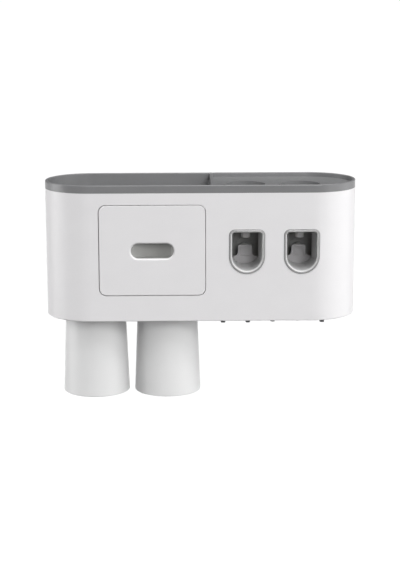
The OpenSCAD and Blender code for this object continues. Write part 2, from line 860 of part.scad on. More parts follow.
module window_ring() {
    color("silver") {
        around_outline(win_w, win_h, win_r, win_w / 2) ring_profile();
        difference() {
            front_block(ring_flange_y, ring_flange_y + ring_flange_t)
                square([ring_tab_w, win_h + 2 * ring_tab_h], center = true);
            front_block(ring_flange_y - 1, ring_flange_y + ring_flange_t + 1)
                window_shape(win_w - ring_t, win_h - ring_t, win_r - ring_t / 2);
        }
    }
}

// Section of the clear ring: round outer front edge, sloped inner front edge
module ring_profile() {
    back = ring_flange_y + ring_flange_t;
    e = ring_edge_r;
    polygon([
        [-ring_t, -back], [0, -back], [0, ring_proud - e], [-e, ring_proud],
        [ring_slope - ring_t, ring_proud], [-ring_t, ring_proud - ring_slope]
    ]);
    translate([-e, ring_proud - e]) circle(r = e, $fn = 32);
}

module pump_case() {
    color("darkgray") difference() {
        union() {
            case_shell();
            trough();
            pin_lugs();
        }
        pocket_hollow();
        translate([0, inlet_depth, roof_z - 1]) cylinder(r = 5.7, h = case_wall + 2);
        translate([0, inlet_depth, case_top - case_wall - 1])
            cylinder(r = inlet_hub_r + 0.2, h = case_wall + 2);
        translate([0, pin_y, pin_z]) rod_x(pin_r + running, case_w / 2 + 10);
        for (p = case_foot_places()) translate([p[0], p[1], -case_foot - 1])
            cylinder(r = pilot_r, h = case_post_h - 0.5);
    }
}

// Box of the case, open at the back, with screw posts in its corners
module case_shell() {
    half = case_w / 2;
    difference() {
        translate([-half, case_y, -case_foot]) cube([case_w, case_d, case_top + case_foot]);
        translate([case_wall - half, case_y + case_wall, case_wall - case_foot])
            cube([case_w - 2 * case_wall, case_d, case_top + case_foot - 2 * case_wall]);
    }
    for (p = case_foot_places()) translate([p[0], p[1], -case_foot])
        cylinder(r = case_post_r, h = case_post_h);
    difference() {
        for (p = back_screw_places()) translate([p[0], 0, p[1]])
            rod_y(block_screw_r, block_end - 10, block_end);
        for (p = back_screw_places()) translate([p[0], 0, p[1]])
            rod_y(pilot_r, block_end - 9, block_end + 1);
    }
}

function back_screw_places() = [
    for (sx = [-1, 1]) for (z = [case_wall + 2.4 - case_foot, case_top - case_wall - 2.4])
        [sx * (case_w / 2 - case_wall - 2.4), z]
];

// Round-footed tube that guides the brush's head back to the lever
module trough() {
    front_block(case_y, trough_end)
        window_shape(open_w + 2 * case_wall, open_h + 2 * case_wall, win_r + 1);
}

// Brush pocket: the window's outline, drawn in at its sides towards the lever
module pocket_hollow() {
    intersection() {
        front_block(case_y - 1, trough_end + 1) window_shape(open_w, open_h, win_r - ring_t / 2);
        translate([0, 0, -win_h]) linear_extrude(2 * win_h) polygon([
            [-open_w / 2, case_y - 2], [open_w / 2, case_y - 2],
            [pocket_w / 2, trough_end + 2], [-pocket_w / 2, trough_end + 2]
        ]);
    }
}

module pin_lugs() {
    for (s = [-1, 1])
        translate([s * (hub_half + 0.4 + lug_t / 2) - lug_t / 2, pin_y - 4.6, 1 - case_foot])
            cube([lug_t, 9.2, pin_z + lug_rise + case_foot - 1]);
}

module case_back() {
    half = case_w / 2;
    color("dimgray") difference() {
        translate([-half, block_end, -case_foot])
            cube([case_w, case_wall, case_top + case_foot]);
        for (p = back_screw_places()) translate([p[0], 0, p[1]])
            rod_y(screw_hole_r, block_end - 1, block_end + case_wall + 1);
    }
}

// Screws that hold the case's back, and those that hold the case to the base plate
module case_screws() {
    color("silver") {
        for (p = back_screw_places()) translate([p[0], 0, p[1]]) {
            rod_y(screw_r, block_end - 7, block_end + case_wall);
            rod_y(head_r - 0.4, block_end + case_wall, block_end + case_wall + 1.2);
        }
        for (p = case_foot_places()) translate([p[0], p[1], -case_foot - wall])
            screw_up(wall + case_post_h - 1.7);
    }
}

// Pump body: cylinder behind the lever, riser, and an arm to the inlet and nozzle
module pump_block() {
    length = block_end - block_y;
    floor_z = case_wall - case_foot;
    arm_half = duct_r + duct_wall;
    arm_r = duct_r + 1.5;
    color("dimgray") difference() {
        union() {
            translate([-block_half, block_y, rod_z - block_r])
                cube([2 * block_half, length, 2 * block_r]);
            translate([-column_half, block_y, floor_z])
                cube([2 * column_half, length, rod_z - floor_z]);
            translate([-arm_half, block_y, rod_z])
                cube([2 * arm_half, length, duct_z + arm_r - rod_z]);
            translate([-arm_half, inlet_depth, duct_z - arm_r])
                cube([2 * arm_half, block_end - inlet_depth, 2 * arm_r]);
            translate([0, inlet_depth, hub_z0]) cylinder(r = inlet_hub_r, h = hub_z1 - hub_z0);
        }
        translate([0, 0, rod_z]) rod_y(bore_r, block_y - 1, block_y + bore_depth);
        translate([0, inlet_depth, hub_z0 - 1]) cylinder(r = 4.5, h = hub_z1 - hub_z0 + 2);
        translate([0, inlet_depth, hub_z1 - valve_t])
            cylinder(r = neck_r - 0.3, h = valve_t + 1);
        translate([0, 0, duct_z]) rod_y(duct_r, inlet_depth, riser_y);
        translate([0, riser_y, rod_z]) cylinder(r = duct_r, h = duct_z - rod_z);
    }
}

// Silicone collar that grips the tube's neck
module inlet_collar() {
    color("lightgray") translate([0, inlet_depth, 0]) difference() {
        union() {
            translate([0, 0, hub_z1]) cylinder(r = inlet_hub_r - 0.1, h = case_top - hub_z1 + 0.5);
            translate([0, 0, case_top]) cylinder(r = collar_r, h = 3);
            translate([0, 0, case_top + 3])
                cylinder(r1 = collar_r - 1, r2 = neck_r + 2.5, h = collar_top - case_top - 3);
        }
        translate([0, 0, hub_z1 - 1]) cylinder(r = neck_r, h = collar_top - hub_z1 + 2);
    }
}

// Soft disc with a cross cut through it
module inlet_valve() {
    cut = 7;
    color("white") translate([0, inlet_depth, hub_z1 - valve_t]) difference() {
        cylinder(r = neck_r - 0.5, h = valve_t - 0.1);
        cube([cut, 0.4, 3 * valve_t], center = true);
        cube([0.4, cut, 3 * valve_t], center = true);
    }
}

// Soft spout that hangs into the pocket
module nozzle() {
    neck = nozzle_tip_r + nozzle_taper;
    round_z = nozzle_rise + nozzle_edge;
    color("lightgray") translate([0, inlet_depth, 0]) rotate_extrude() polygon([
        [nozzle_bore, nozzle_rise], [nozzle_tip_r - nozzle_edge, nozzle_rise],
        [nozzle_tip_r, round_z], [neck, roof_z], [neck, hub_z0 - nozzle_flange_t],
        [nozzle_flange_r, hub_z0 - nozzle_flange_t], [nozzle_flange_r, hub_z0],
        [nozzle_bore, hub_z0]
    ]);
}

module gland() {
    color("dimgray") translate([0, 0, rod_z]) difference() {
        rod_y(bore_r + 1.8, gland_y, block_y);
        rod_y(rod_r + running, gland_y - 1, block_y + 1);
    }
}

module piston() {
    groove_y = head_y + head_len / 2;
    head_r0 = bore_r - running;
    color("white") translate([0, 0, rod_z]) difference() {
        union() {
            translate([0, tip_y + rod_r, 0]) sphere(r = rod_r);
            rod_y(rod_r, tip_y + rod_r, head_y);
            rod_y(flange_r, flange_y, flange_y + flange_t);
            rod_y(head_r0, head_y, head_y + head_len);
        }
        difference() {
            rod_y(bore_r + 1, groove_y - seal_r, groove_y + seal_r);
            rod_y(head_r0 - 2 * seal_r - 0.05, groove_y - seal_r - 1, groove_y + seal_r + 1);
        }
    }
}

module piston_seal() {
    r = bore_r - running - seal_r;
    color("dimgray") translate([0, head_y + head_len / 2, rod_z]) rotate([90, 0, 0])
        rotate_extrude() translate([r + 0.03, 0]) circle(r = seal_r - 0.03, $fn = 24);
}

// Coil spring round the piston's rod, one unbroken wire of six sides
function coil_point(t, a) =
    let (turn = 360 * spring_turns * t, r = spring_r + spring_wire * cos(a))
    [r * cos(turn), spring_y0 + (spring_y1 - spring_y0) * t + spring_wire * sin(a),
     r * sin(turn)];
spring_y0 = flange_y + flange_t + spring_wire + 0.05;
spring_y1 = gland_y - spring_wire - 0.05;
spring_rings = 12 * spring_turns;
spring_sides = 6;
echo(spring_least_gap = (spring_y1 - spring_y0) / spring_turns - 2 * spring_wire);

module return_spring() {
    n = spring_sides;
    points = [
        for (k = [0:spring_rings]) for (s = [0:n - 1]) coil_point(k / spring_rings, 360 * s / n)
    ];
    walls = [
        for (k = [0:spring_rings - 1]) for (s = [0:n - 1])
            let (a = k * n + s, b = k * n + (s + 1) % n)
            for (face = [[a, b, b + n], [a, b + n, a + n]]) face
    ];
    start_cap = [for (s = [1:n - 2]) [0, s + 1, s]];
    end_cap = [for (s = [1:n - 2]) [0, s, s + 1] + spring_rings * n * [1, 1, 1]];
    color("silver") translate([0, 0, rod_z])
        polyhedron(points = points, faces = concat(walls, start_cap, end_cap));
}

module lever() {
    half = pocket_w / 2 - 0.6;
    base_z = pin_z + lever_foot;
    color("darkgray") difference() {
        union() {
            front_block(lever_y, lever_y + lever_t) lever_outline(half, base_z);
            translate([0, pin_y, pin_z]) rod_x(hub_r, 2 * hub_half);
            translate([-hub_half, lever_y, pin_z])
                cube([2 * hub_half, lever_t, lever_foot + 0.2]);
        }
        translate([0, pin_y, pin_z]) rod_x(pin_r + running, 3 * hub_half);
        front_block(lever_y - 1, lever_y + 0.7)
            translate([0, (shoulder_z + tongue_top) / 2 - 1.2]) square([10.3, 9], center = true);
    }
}

// Lever seen from the front: wide foot, hollow-cornered shoulders, narrow tongue
module lever_outline(half, base_z) {
    fillet = 4;
    corner = 2.5;
    t = tongue_w / 2;
    translate([-half, base_z]) square([2 * half, shoulder_z - base_z]);
    translate([-t, base_z]) square([2 * t, tongue_top - corner - base_z]);
    translate([-t + corner, base_z]) square([2 * (t - corner), tongue_top - base_z]);
    for (s = [-1, 1]) {
        translate([s * (t - corner), tongue_top - corner]) circle(r = corner);
        difference() {
            translate([s * (t + fillet / 2), shoulder_z + fillet / 2])
                square(fillet + 0.02, center = true);
            translate([s * (t + fillet), shoulder_z + fillet]) circle(r = fillet);
        }
    }
}

module lever_pin() {
    color("silver") translate([0, pin_y, pin_z]) rod_x(pin_r, 2 * (hub_half + 0.4 + lug_t));
}

wall_plate();
adhesive_pad();
main_shell();
back_cover();
back_cover_screws();
under_plate();
under_plate_screws();
seat_magnets();
seat_magnet_caps();
toothbrush_rack();
rack_screws();
drawer_guide();
guide_screws();
drawer_box();
drawer_face();
finger_cup();
face_screws();
top_tray();
cup_at(0) cup();  // left_cup
cup_at(0) cup_magnet();  // left_cup_magnet
cup_at(0) cup_cap();  // left_cup_cap
cup_at(1) cup();  // right_cup
cup_at(1) cup_magnet();  // right_cup_magnet
cup_at(1) cup_cap();  // right_cup_cap
pump_at(0) window_ring();  // left_window_ring
pump_at(0) pump_case();  // left_pump_case
pump_at(0) case_back();  // left_case_back
pump_at(0) case_screws();  // left_case_screws
pump_at(0) pump_block();  // left_pump_block
pump_at(0) inlet_collar();  // left_inlet_collar
pump_at(0) inlet_valve();  // left_inlet_valve
pump_at(0) nozzle();  // left_nozzle
pump_at(0) gland();  // left_gland
pump_at(0) piston();  // left_piston
pump_at(0) piston_seal();  // left_piston_seal
pump_at(0) return_spring();  // left_return_spring
pump_at(0) lever();  // left_lever
pump_at(0) lever_pin();  // left_lever_pin
pump_at(1) window_ring();  // right_window_ring
pump_at(1) pump_case();  // right_pump_case
pump_at(1) case_back();  // right_case_back
pump_at(1) case_screws();  // right_case_screws
pump_at(1) pump_block();  // right_pump_block
pump_at(1) inlet_collar();  // right_inlet_collar
pump_at(1) inlet_valve();  // right_inlet_valve
pump_at(1) nozzle();  // right_nozzle
pump_at(1) gland();  // right_gland
pump_at(1) piston();  // right_piston
pump_at(1) piston_seal();  // right_piston_seal
pump_at(1) return_spring();  // right_return_spring
pump_at(1) lever();  // right_lever
pump_at(1) lever_pin();  // right_lever_pin
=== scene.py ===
"""Looks of the wall-hung toothpaste dispenser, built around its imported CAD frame."""
import json
import math

import bmesh
import bpy
from mathutils import Matrix, Vector


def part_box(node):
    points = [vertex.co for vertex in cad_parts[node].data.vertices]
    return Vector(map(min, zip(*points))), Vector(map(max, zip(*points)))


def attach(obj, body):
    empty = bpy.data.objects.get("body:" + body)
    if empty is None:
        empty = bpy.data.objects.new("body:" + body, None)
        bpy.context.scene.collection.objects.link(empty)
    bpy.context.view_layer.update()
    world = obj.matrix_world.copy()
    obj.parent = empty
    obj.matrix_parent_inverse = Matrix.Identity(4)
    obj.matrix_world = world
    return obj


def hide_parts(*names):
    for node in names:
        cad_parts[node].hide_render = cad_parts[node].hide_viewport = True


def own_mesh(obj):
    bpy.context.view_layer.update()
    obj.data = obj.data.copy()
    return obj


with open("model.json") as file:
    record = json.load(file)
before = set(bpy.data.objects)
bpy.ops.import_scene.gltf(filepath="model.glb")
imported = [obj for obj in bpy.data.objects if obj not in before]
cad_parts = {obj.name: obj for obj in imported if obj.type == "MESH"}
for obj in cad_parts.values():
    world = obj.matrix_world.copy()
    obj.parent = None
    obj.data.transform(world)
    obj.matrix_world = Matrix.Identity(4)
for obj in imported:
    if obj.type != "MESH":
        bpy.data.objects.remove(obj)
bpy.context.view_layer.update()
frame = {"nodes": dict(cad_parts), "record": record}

SCENE = bpy.context.scene
NODES = frame["nodes"]
SLOT_OF = {s["node"]: s["material_slot"] for s in frame["record"]["subparts"]}
BODY_OF = {n: b for b, names in frame["record"]["behaviour"]["bodies"].items() for n in names}
SIDES = ("left", "right")
MM = 0.001
# Points of a CAD mesh nearer than this, in metres, are one point
SAME_POINT = 2e-6

# Blender's own start-up objects
for stray in ("Cube", "Light", "Camera"):
    if stray in bpy.data.objects and stray not in NODES:
        bpy.data.objects.remove(bpy.data.objects[stray])


# materials
class Graph:
    """A small helper that builds one material's node tree."""

    def __init__(self, name):
        self.mat = bpy.data.materials.new(name)
        self.mat.use_nodes = True
        self.tree = self.mat.node_tree
        self.tree.nodes.clear()
        self.out = self.node("ShaderNodeOutputMaterial")
        self.bsdf = self.node("ShaderNodeBsdfPrincipled")
        self.link(self.bsdf, "BSDF", self.out, "Surface")
        self.coords = self.node("ShaderNodeTexCoord")

    def node(self, kind, **settings):
        n = self.tree.nodes.new(kind)
        for key, value in settings.items():
            setattr(n, key, value)
        return n

    def link(self, a, a_out, b, b_in):
        self.tree.links.new(a.outputs[a_out], b.inputs[b_in])

    def noise(self, size, detail=2.0, stretch=(1, 1, 1)):
        """Noise whose features are about `size` metres across, and its Fac output."""
        place = self.node("ShaderNodeMapping")
        place.inputs["Scale"].default_value = stretch
        self.link(self.coords, "Object", place, "Vector")
        n = self.node("ShaderNodeTexNoise")
        n.inputs["Scale"].default_value = 1 / size
        n.inputs["Detail"].default_value = detail
        self.link(place, "Vector", n, "Vector")
        return n

    def ramp(self, source, output, low, high, stops=(0.3, 0.7)):
        """A colour ramp from `low` to `high` over the source's value."""
        r = self.node("ShaderNodeValToRGB")
        r.color_ramp.elements[0].position = stops[0]
        r.color_ramp.elements[1].position = stops[1]
        r.color_ramp.elements[0].color = (*low, 1)
        r.color_ramp.elements[1].color = (*high, 1)
        self.link(source, output, r, "Fac")
        return r

    def spread(self, source, output, low, high):
        """The source's value carried over to the range low to high."""
        m = self.node("ShaderNodeMapRange")
        m.inputs["From Min"].default_value = 0.25
        m.inputs["From Max"].default_value = 0.75
        m.inputs["To Min"].default_value = low
        m.inputs["To Max"].default_value = high
        self.link(source, output, m, "Value")
        return m

    def bump(self, source, output, height, strength=1.0, under=None):
        """A bump of `height` metres from the source's value, on top of the bump `under`."""
        b = self.node("ShaderNodeBump")
        b.inputs["Strength"].default_value = strength
        b.inputs["Distance"].default_value = height
        self.link(source, output, b, "Height")
        if under:
            self.link(under, "Normal", b, "Normal")
        return b

    def set(self, **values):
        """Sets constants on the shader; an underscore in a name stands for a space."""
        for key, value in values.items():
            self.bsdf.inputs[key.replace("_", " ")].default_value = value


def shade(colour, k):
    """The colour made k times as bright, with white as its limit."""
    return tuple(min(1.0, c * k) for c in colour)


def moulded(name, colour, rough, grain=0.006, grain_size=0.00035, vary=0.03, level=0.5, blotch=0.03):
    """Injection-moulded plastic: spark-eroded grain, faint flow clouds and uneven gloss."""
    g = Graph(name)
    cloud = g.noise(blotch, 3.0, (1, 1, 1.6))
    speck = g.noise(grain_size * 2.2, 2.0)
    base = g.ramp(cloud, "Fac", shade(colour, 1 - vary), shade(colour, 1 + vary / 2))
    fleck = g.ramp(speck, "Fac", shade((1, 1, 1), 1 - vary / 1.5), (1, 1, 1), (0.35, 0.6))
    mix = g.node("ShaderNodeMix", data_type="RGBA", blend_type="MULTIPLY")
    mix.inputs[0].default_value = 1.0
    g.tree.links.new(base.outputs["Color"], mix.inputs[6])
    g.tree.links.new(fleck.outputs["Color"], mix.inputs[7])
    g.tree.links.new(mix.outputs[2], g.bsdf.inputs["Base Color"])
    gloss = g.noise(blotch / 5, 4.0)
    rough_range = g.spread(gloss, "Fac", rough - 0.05, rough + 0.06)
    g.link(rough_range, "Result", g.bsdf, "Roughness")
    fine = g.noise(grain_size, 2.0)
    wave = g.noise(blotch / 2, 1.0)
    under = g.bump(wave, "Fac", 0.00003, 0.6)
    top = g.bump(fine, "Fac", grain * MM, 1.0, under)
    g.link(top, "Normal", g.bsdf, "Normal")
    g.set(Specular_IOR_Level=level, IOR=1.5)
    return g.mat


def clear_plastic(name, low, high):
    """Clear moulded trim: slightly frosted, with faint flow streaks."""
    g = Graph(name)
    streak = g.noise(0.012, 3.0, (1, 1, 0.3))
    tint = g.ramp(streak, "Fac", (low, low, low), (high, high, high))
    g.link(tint, "Color", g.bsdf, "Base Color")
    gloss = g.noise(0.004, 4.0)
    g.link(g.spread(gloss, "Fac", 0.12, 0.22), "Result", g.bsdf, "Roughness")
    fine = g.noise(0.0008, 2.0)
    g.link(g.bump(fine, "Fac", 0.004 * MM), "Normal", g.bsdf, "Normal")
    g.set(Transmission_Weight=0.15, IOR=1.49, Specular_IOR_Level=0.9)
    return g.mat


def rubbery(name, colour, rough, soft=0.0):
    """Silicone or rubber: fine mould grain, dusty clouds and a soft sheen."""
    g = Graph(name)
    dust = g.noise(0.006, 5.0)
    base = g.ramp(dust, "Fac", shade(colour, 0.94), shade(colour, 1.05))
    g.link(base, "Color", g.bsdf, "Base Color")
    g.link(g.spread(g.noise(0.002, 3.0), "Fac", rough - 0.06, rough + 0.06), "Result", g.bsdf, "Roughness")
    g.link(g.bump(g.noise(0.0005, 3.0), "Fac", 0.01 * MM), "Normal", g.bsdf, "Normal")
    g.set(Specular_IOR_Level=0.35, Subsurface_Weight=soft, Subsurface_Scale=0.002)
    return g.mat


def foam(name, colour):
    """Closed-cell foam tape: small cells of uneven size."""
    g = Graph(name)
    cells = g.node("ShaderNodeTexVoronoi", feature="F1")
    cells.inputs["Scale"].default_value = 1 / 0.0009
    g.link(g.coords, "Object", cells, "Vector")
    base = g.ramp(cells, "Distance", shade(colour, 1.05), shade(colour, 0.72), (0.1, 0.75))
    g.link(base, "Color", g.bsdf, "Base Color")
    g.link(g.spread(g.noise(0.003, 3.0), "Fac", 0.82, 0.95), "Result", g.bsdf, "Roughness")
    g.link(g.bump(cells, "Distance", 0.12 * MM), "Normal", g.bsdf, "Normal")
    g.set(Specular_IOR_Level=0.2)
    return g.mat


def metal(name, colour, rough, streak=(1, 1, 14)):
    """Zinc-plated or drawn steel: fine drawing lines, dull patches and small scratches."""
    g = Graph(name)
    patch = g.noise(0.003, 4.0)
    base = g.ramp(patch, "Fac", shade(colour, 0.86), shade(colour, 1.06))
    g.link(base, "Color", g.bsdf, "Base Color")
    lines = g.noise(0.0012, 3.0, streak)
    g.link(g.spread(lines, "Fac", rough - 0.07, rough + 0.1), "Result", g.bsdf, "Roughness")
    g.link(g.bump(lines, "Fac", 0.006 * MM), "Normal", g.bsdf, "Normal")
    g.set(Metallic=1.0)
    return g.mat


WHITE = (0.80, 0.79, 0.80)
LOOKS = {
    "shell_white": moulded("shell_white_look", WHITE, 0.42, 0.003, 0.0006, 0.012),
    "white_plastic": moulded("white_plastic_look", (0.76, 0.76, 0.755), 0.5, 0.006, 0.0005, 0.02),
    "cup_white": moulded("cup_white_look", (0.80, 0.80, 0.80), 0.36, 0.003, 0.0007, 0.012),
    "tray_grey": moulded("tray_grey_look", (0.19, 0.191, 0.195), 0.33, 0.008, 0.0005, 0.05),
    "rack_grey": moulded("rack_grey_look", (0.105, 0.106, 0.11), 0.5, 0.012, 0.0005, 0.06),
    # Finger cup grey: partly its own tone, partly painted shade, darkened to stand for the shade inside the
    # drawer's finger recess
    "scoop_grey": moulded("scoop_grey_and_painted_shade_look", (0.34, 0.34, 0.33), 0.5, 0.006, 0.0005, 0.03),
    # Case grey: partly its own tone, partly painted light, lightened to stand for light that does not reach
    # into the window pockets
    "case_grey": moulded("case_grey_and_painted_light_look", (0.62, 0.62, 0.62), 0.5, 0.012, 0.0005, 0.05),
    "block_grey": moulded("block_grey_look", (0.42, 0.422, 0.412), 0.55, 0.012, 0.0005, 0.06),
    "lever_grey": moulded("lever_grey_look", (0.47, 0.46, 0.467), 0.5, 0.010, 0.0004, 0.05),
    "clear_ring": clear_plastic("clear_ring_look", 0.38, 0.44),
    # The trim's mouth: the same clear plastic made far lighter than the band, a painted highlight on its
    # sloped lip
    "lip": clear_plastic("lip_painted_highlight_look", 0.74, 0.80),
    "silicone": rubbery("silicone_look", (0.62, 0.62, 0.61), 0.5, 0.05),
    "black_rubber": rubbery("black_rubber_look", (0.025, 0.025, 0.027), 0.6),
    "foam_pad": foam("foam_pad_look", (0.62, 0.62, 0.60)),
    "magnet": metal("magnet_look", (0.46, 0.46, 0.48), 0.3),
    "steel": metal("steel_look", (0.60, 0.61, 0.63), 0.3),
    "grey_plastic": moulded("grey_plastic_look", (0.40, 0.40, 0.41), 0.5, 0.008, 0.0005, 0.04),
}
for node, obj in NODES.items():
    for part_slot in obj.material_slots:
        part_slot.material = LOOKS[SLOT_OF[node]]


# pieces
def piece(name, mesh, node_slot, body, stands_for=()):
    """A new piece in the scene, with its slot's look, riding on a body."""
    obj = bpy.data.objects.new(name, mesh)
    SCENE.collection.objects.link(obj)
    mesh.materials.clear()
    mesh.materials.append(LOOKS[node_slot])
    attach(obj, body)
    if stands_for:
        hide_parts(*stands_for)
    return obj


def softened(node, width, segments=2, sharp_angle=30, flat_angle=0.4, face_weight=80):
    """A copy of the node's shape, its hard edges rounded to `width` metres, in the node's place."""
    bm = bmesh.new()
    bm.from_mesh(NODES[node].data)
    bmesh.ops.remove_doubles(bm, verts=bm.verts, dist=SAME_POINT)
    bmesh.ops.dissolve_limit(bm, angle_limit=math.radians(flat_angle), verts=bm.verts, edges=bm.edges)
    mesh = bpy.data.meshes.new(node + "_soft")
    bm.to_mesh(mesh)
    bm.free()
    mesh.shade_smooth()
    obj = piece(node + "_soft", mesh, SLOT_OF[node], BODY_OF[node], (node,))
    edge = obj.modifiers.new("edges", "BEVEL")
    edge.width = width
    edge.segments = segments
    edge.limit_method = "ANGLE"
    edge.angle_limit = math.radians(sharp_angle)
    edge.miter_outer = "MITER_ARC"
    flat = obj.modifiers.new("normals", "WEIGHTED_NORMAL")
    flat.mode = "FACE_AREA"
    flat.weight = face_weight


def mesh_of(name, bm, smooth_angle=35):
    """A named mesh from a bmesh, with smooth faces and crisp edges."""
    bmesh.ops.recalc_face_normals(bm, faces=bm.faces)
    mesh = bpy.data.meshes.new(name)
    bm.to_mesh(mesh)
    bm.free()
    mesh.shade_smooth()
    mesh.set_sharp_from_angle(angle=math.radians(smooth_angle))
    return mesh


def skin(bm, rings, closed=True):
    """Joins rows of equally many points into a tube of faces, and returns the rows' vertices."""
    rows = [[bm.verts.new(point) for point in ring] for ring in rings]
    count = len(rows[0])
    for i in range(len(rows) if closed else len(rows) - 1):
        here, after = rows[i], rows[(i + 1) % len(rows)]
        for k in range(count):
            bm.faces.new((here[k], here[(k + 1) % count], after[(k + 1) % count], after[k]))
    return rows


def capped(bm, rings):
    """A closed form through the rings, with a face over its first and its last ring."""
    rows = skin(bm, rings, closed=False)
    bm.faces.new(rows[0])
    bm.faces.new(rows[-1])


def slab(bm, low, high, edge=0.4 * MM):
    """A box with rounded edges between two corners."""
    corners = bmesh.ops.create_cube(bm, size=1.0)["verts"]
    for corner in corners:
        corner.co = Vector(high[i] if corner.co[i] > 0 else low[i] for i in range(3))
    edges = dict.fromkeys(e for corner in corners for e in corner.link_edges)
    bmesh.ops.bevel(bm, geom=list(edges), offset=edge, segments=2, profile=0.5, affect="EDGES")


# Nodes that get rounded edges, and the width of each rounding in mm
SOFT_EDGES = {
    "top_tray": 0.45, "drawer_face": 0.25, "toothbrush_rack": 0.5, "back_cover": 0.5,
    "wall_plate": 0.5, "under_plate": 0.4, "drawer_box": 0.3, "drawer_guide": 0.4,
    "left_lever": 0.35, "right_lever": 0.35, "finger_cup": 0.25,
    "left_case_back": 0.3, "right_case_back": 0.3,
}


# Sections of the window's trim, in mm: how far in from its outline, and how far out of the shell
RING_DEPTH = 4.7
RING_SECTION = [
    (0.0, -RING_DEPTH), (0.0, -1.0), (0.3, -1.0), (0.3, 0.35), (0.42, 0.66), (0.7, 0.8),
    (1.45, 0.8), (1.6, 0.65), (1.65, 0.3), (1.65, -RING_DEPTH),
]
LIP_SECTION = [
    (1.7, -4.6), (1.7, 0.25), (1.82, 0.6), (2.0, 0.68), (2.25, 0.55), (2.6, 0.1),
    (2.95, -0.6), (3.2, -1.5), (3.3, -2.4), (3.2, -3.0), (2.7, -4.6),
]
WINDOW = {"width": 36.5 * MM, "height": 45.7 * MM, "corner": 6 * MM}
# Tabs at the ring's back, above and below the window
TAB = {"half_width": 10 * MM, "thick": 2 * MM, "overlap": 1.5 * MM}


def window_outline(inset, steps=14):
    """Points round the window's outline, drawn in by `inset`, as (x, z) from its centre."""
    half, tall = WINDOW["width"] / 2, WINDOW["height"] / 2
    corner = WINDOW["corner"]
    points = []
    for side in (1, -1):
        for k in range(steps + 1):
            turn = math.radians(90 * (k / steps if side > 0 else 1 - k / steps))
            reach = corner - inset
            points.append((side * (half - corner + reach * math.sin(turn)),
                           tall - corner + reach * math.cos(turn)))
        if side > 0:
            round_r = half - inset
            for k in range(4 * steps + 1):
                turn = math.pi * k / (4 * steps)
                points.append((round_r * math.cos(turn), half - tall - round_r * math.sin(turn)))
    return points


def swept(section, centre_x, front_y, centre_z):
    """A section carried round a window's outline."""
    return [[(centre_x + x, front_y - out * MM, centre_z + z) for x, z in window_outline(inset * MM)]
            for inset, out in section]


def window_rings():
    """Clear trim with a stepped outer edge and a fine groove, its sloped mouth a lip in a far lighter copy
    of the clear plastic, a painted highlight.
    """
    for side in SIDES:
        node = side + "_window_ring"
        low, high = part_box(node)
        centre_x = (low[0] + high[0]) / 2
        centre_z = (low[2] + high[2]) / 2
        front_y = high[1] - RING_DEPTH * MM
        bm = bmesh.new()
        skin(bm, swept(RING_SECTION, centre_x, front_y, centre_z))
        for up in (1, -1):
            edge_z = centre_z + up * (WINDOW["height"] / 2 - TAB["overlap"])
            tip_z = high[2] if up > 0 else low[2]
            slab(bm, (centre_x - TAB["half_width"], high[1] - TAB["thick"], min(edge_z, tip_z)),
                 (centre_x + TAB["half_width"], high[1], max(edge_z, tip_z)))
        piece(node + "_trim", mesh_of(node + "_trim", bm, 28), SLOT_OF[node], BODY_OF[node], (node,))
        bm = bmesh.new()
        skin(bm, swept(LIP_SECTION, centre_x, front_y, centre_z))
        lip = piece(side + "_window_lip", mesh_of(side + "_window_lip", bm, 28), "clear_ring", BODY_OF[node])
        # The mouth takes the lighter copy of the clear plastic, a painted highlight
        lip.data.materials[0] = LOOKS["lip"]


def islands(mesh):
    """The mesh's separate solids, each as a list of points."""
    bm = bmesh.new()
    bm.from_mesh(mesh)
    bmesh.ops.remove_doubles(bm, verts=bm.verts, dist=SAME_POINT)
    seen = set()
    found = []
    for first in bm.verts:
        if first in seen:
            continue
        seen.add(first)
        group = []
        queue = [first]
        while queue:
            vertex = queue.pop()
            group.append(vertex.co.copy())
            for edge in vertex.link_edges:
                other = edge.other_vert(vertex)
                if other not in seen:
                    seen.add(other)
                    queue.append(other)
        found.append(group)
    bm.free()
    return found


def cross_recess(mesh, top, reach):
    """The mesh with a cross-shaped driver recess cut into its top."""
    thin = reach * 0.3
    mouth = (top + reach, 1.5)
    floor_of_cut = (top - reach * 0.55, 0.55)
    bm = bmesh.new()
    for long_x in (True, False):
        corners = []
        for z, grow in (mouth, floor_of_cut):
            x, y = (reach * grow, thin * grow) if long_x else (thin * grow, reach * grow)
            corners.append([(x, y, z), (-x, y, z), (-x, -y, z), (x, -y, z)])
        capped(bm, corners)
    cutter = bpy.data.objects.new("recess_cutter", mesh_of("recess_cutter", bm))
    blank = bpy.data.objects.new("screw_blank", mesh)
    for obj in (cutter, blank):
        SCENE.collection.objects.link(obj)
    cut = blank.modifiers.new("recess", "BOOLEAN")
    cut.object = cutter
    cut.solver = "EXACT"
    cut.use_self = True
    depsgraph = bpy.context.evaluated_depsgraph_get()
    result = bpy.data.meshes.new_from_object(blank.evaluated_get(depsgraph))
    for obj in (cutter, blank):
        bpy.data.objects.remove(obj)
    return result


def thread_rings(shank_r, span, sides=16, steps_per_turn=12, groove=0.22):
    """Rings of a helical thread along +Z, which starts at a blunt point."""
    pitch = shank_r * 0.8
    steps = max(2, round(span / pitch * steps_per_turn))
    rings = []
    for i in range(steps + 1):
        z = span * i / steps
        taper = min(1.0, 0.35 + z / (2.5 * shank_r))
        ring = []
        for k in range(sides):
            phase = (z / pitch - k / sides) % 1
            r = shank_r * taper * (1 - groove * abs(2 * phase - 1) ** 0.7)
            ring.append((r * math.cos(math.tau * k / sides), r * math.sin(math.tau * k / sides), z))
        rings.append(ring)
    return rings


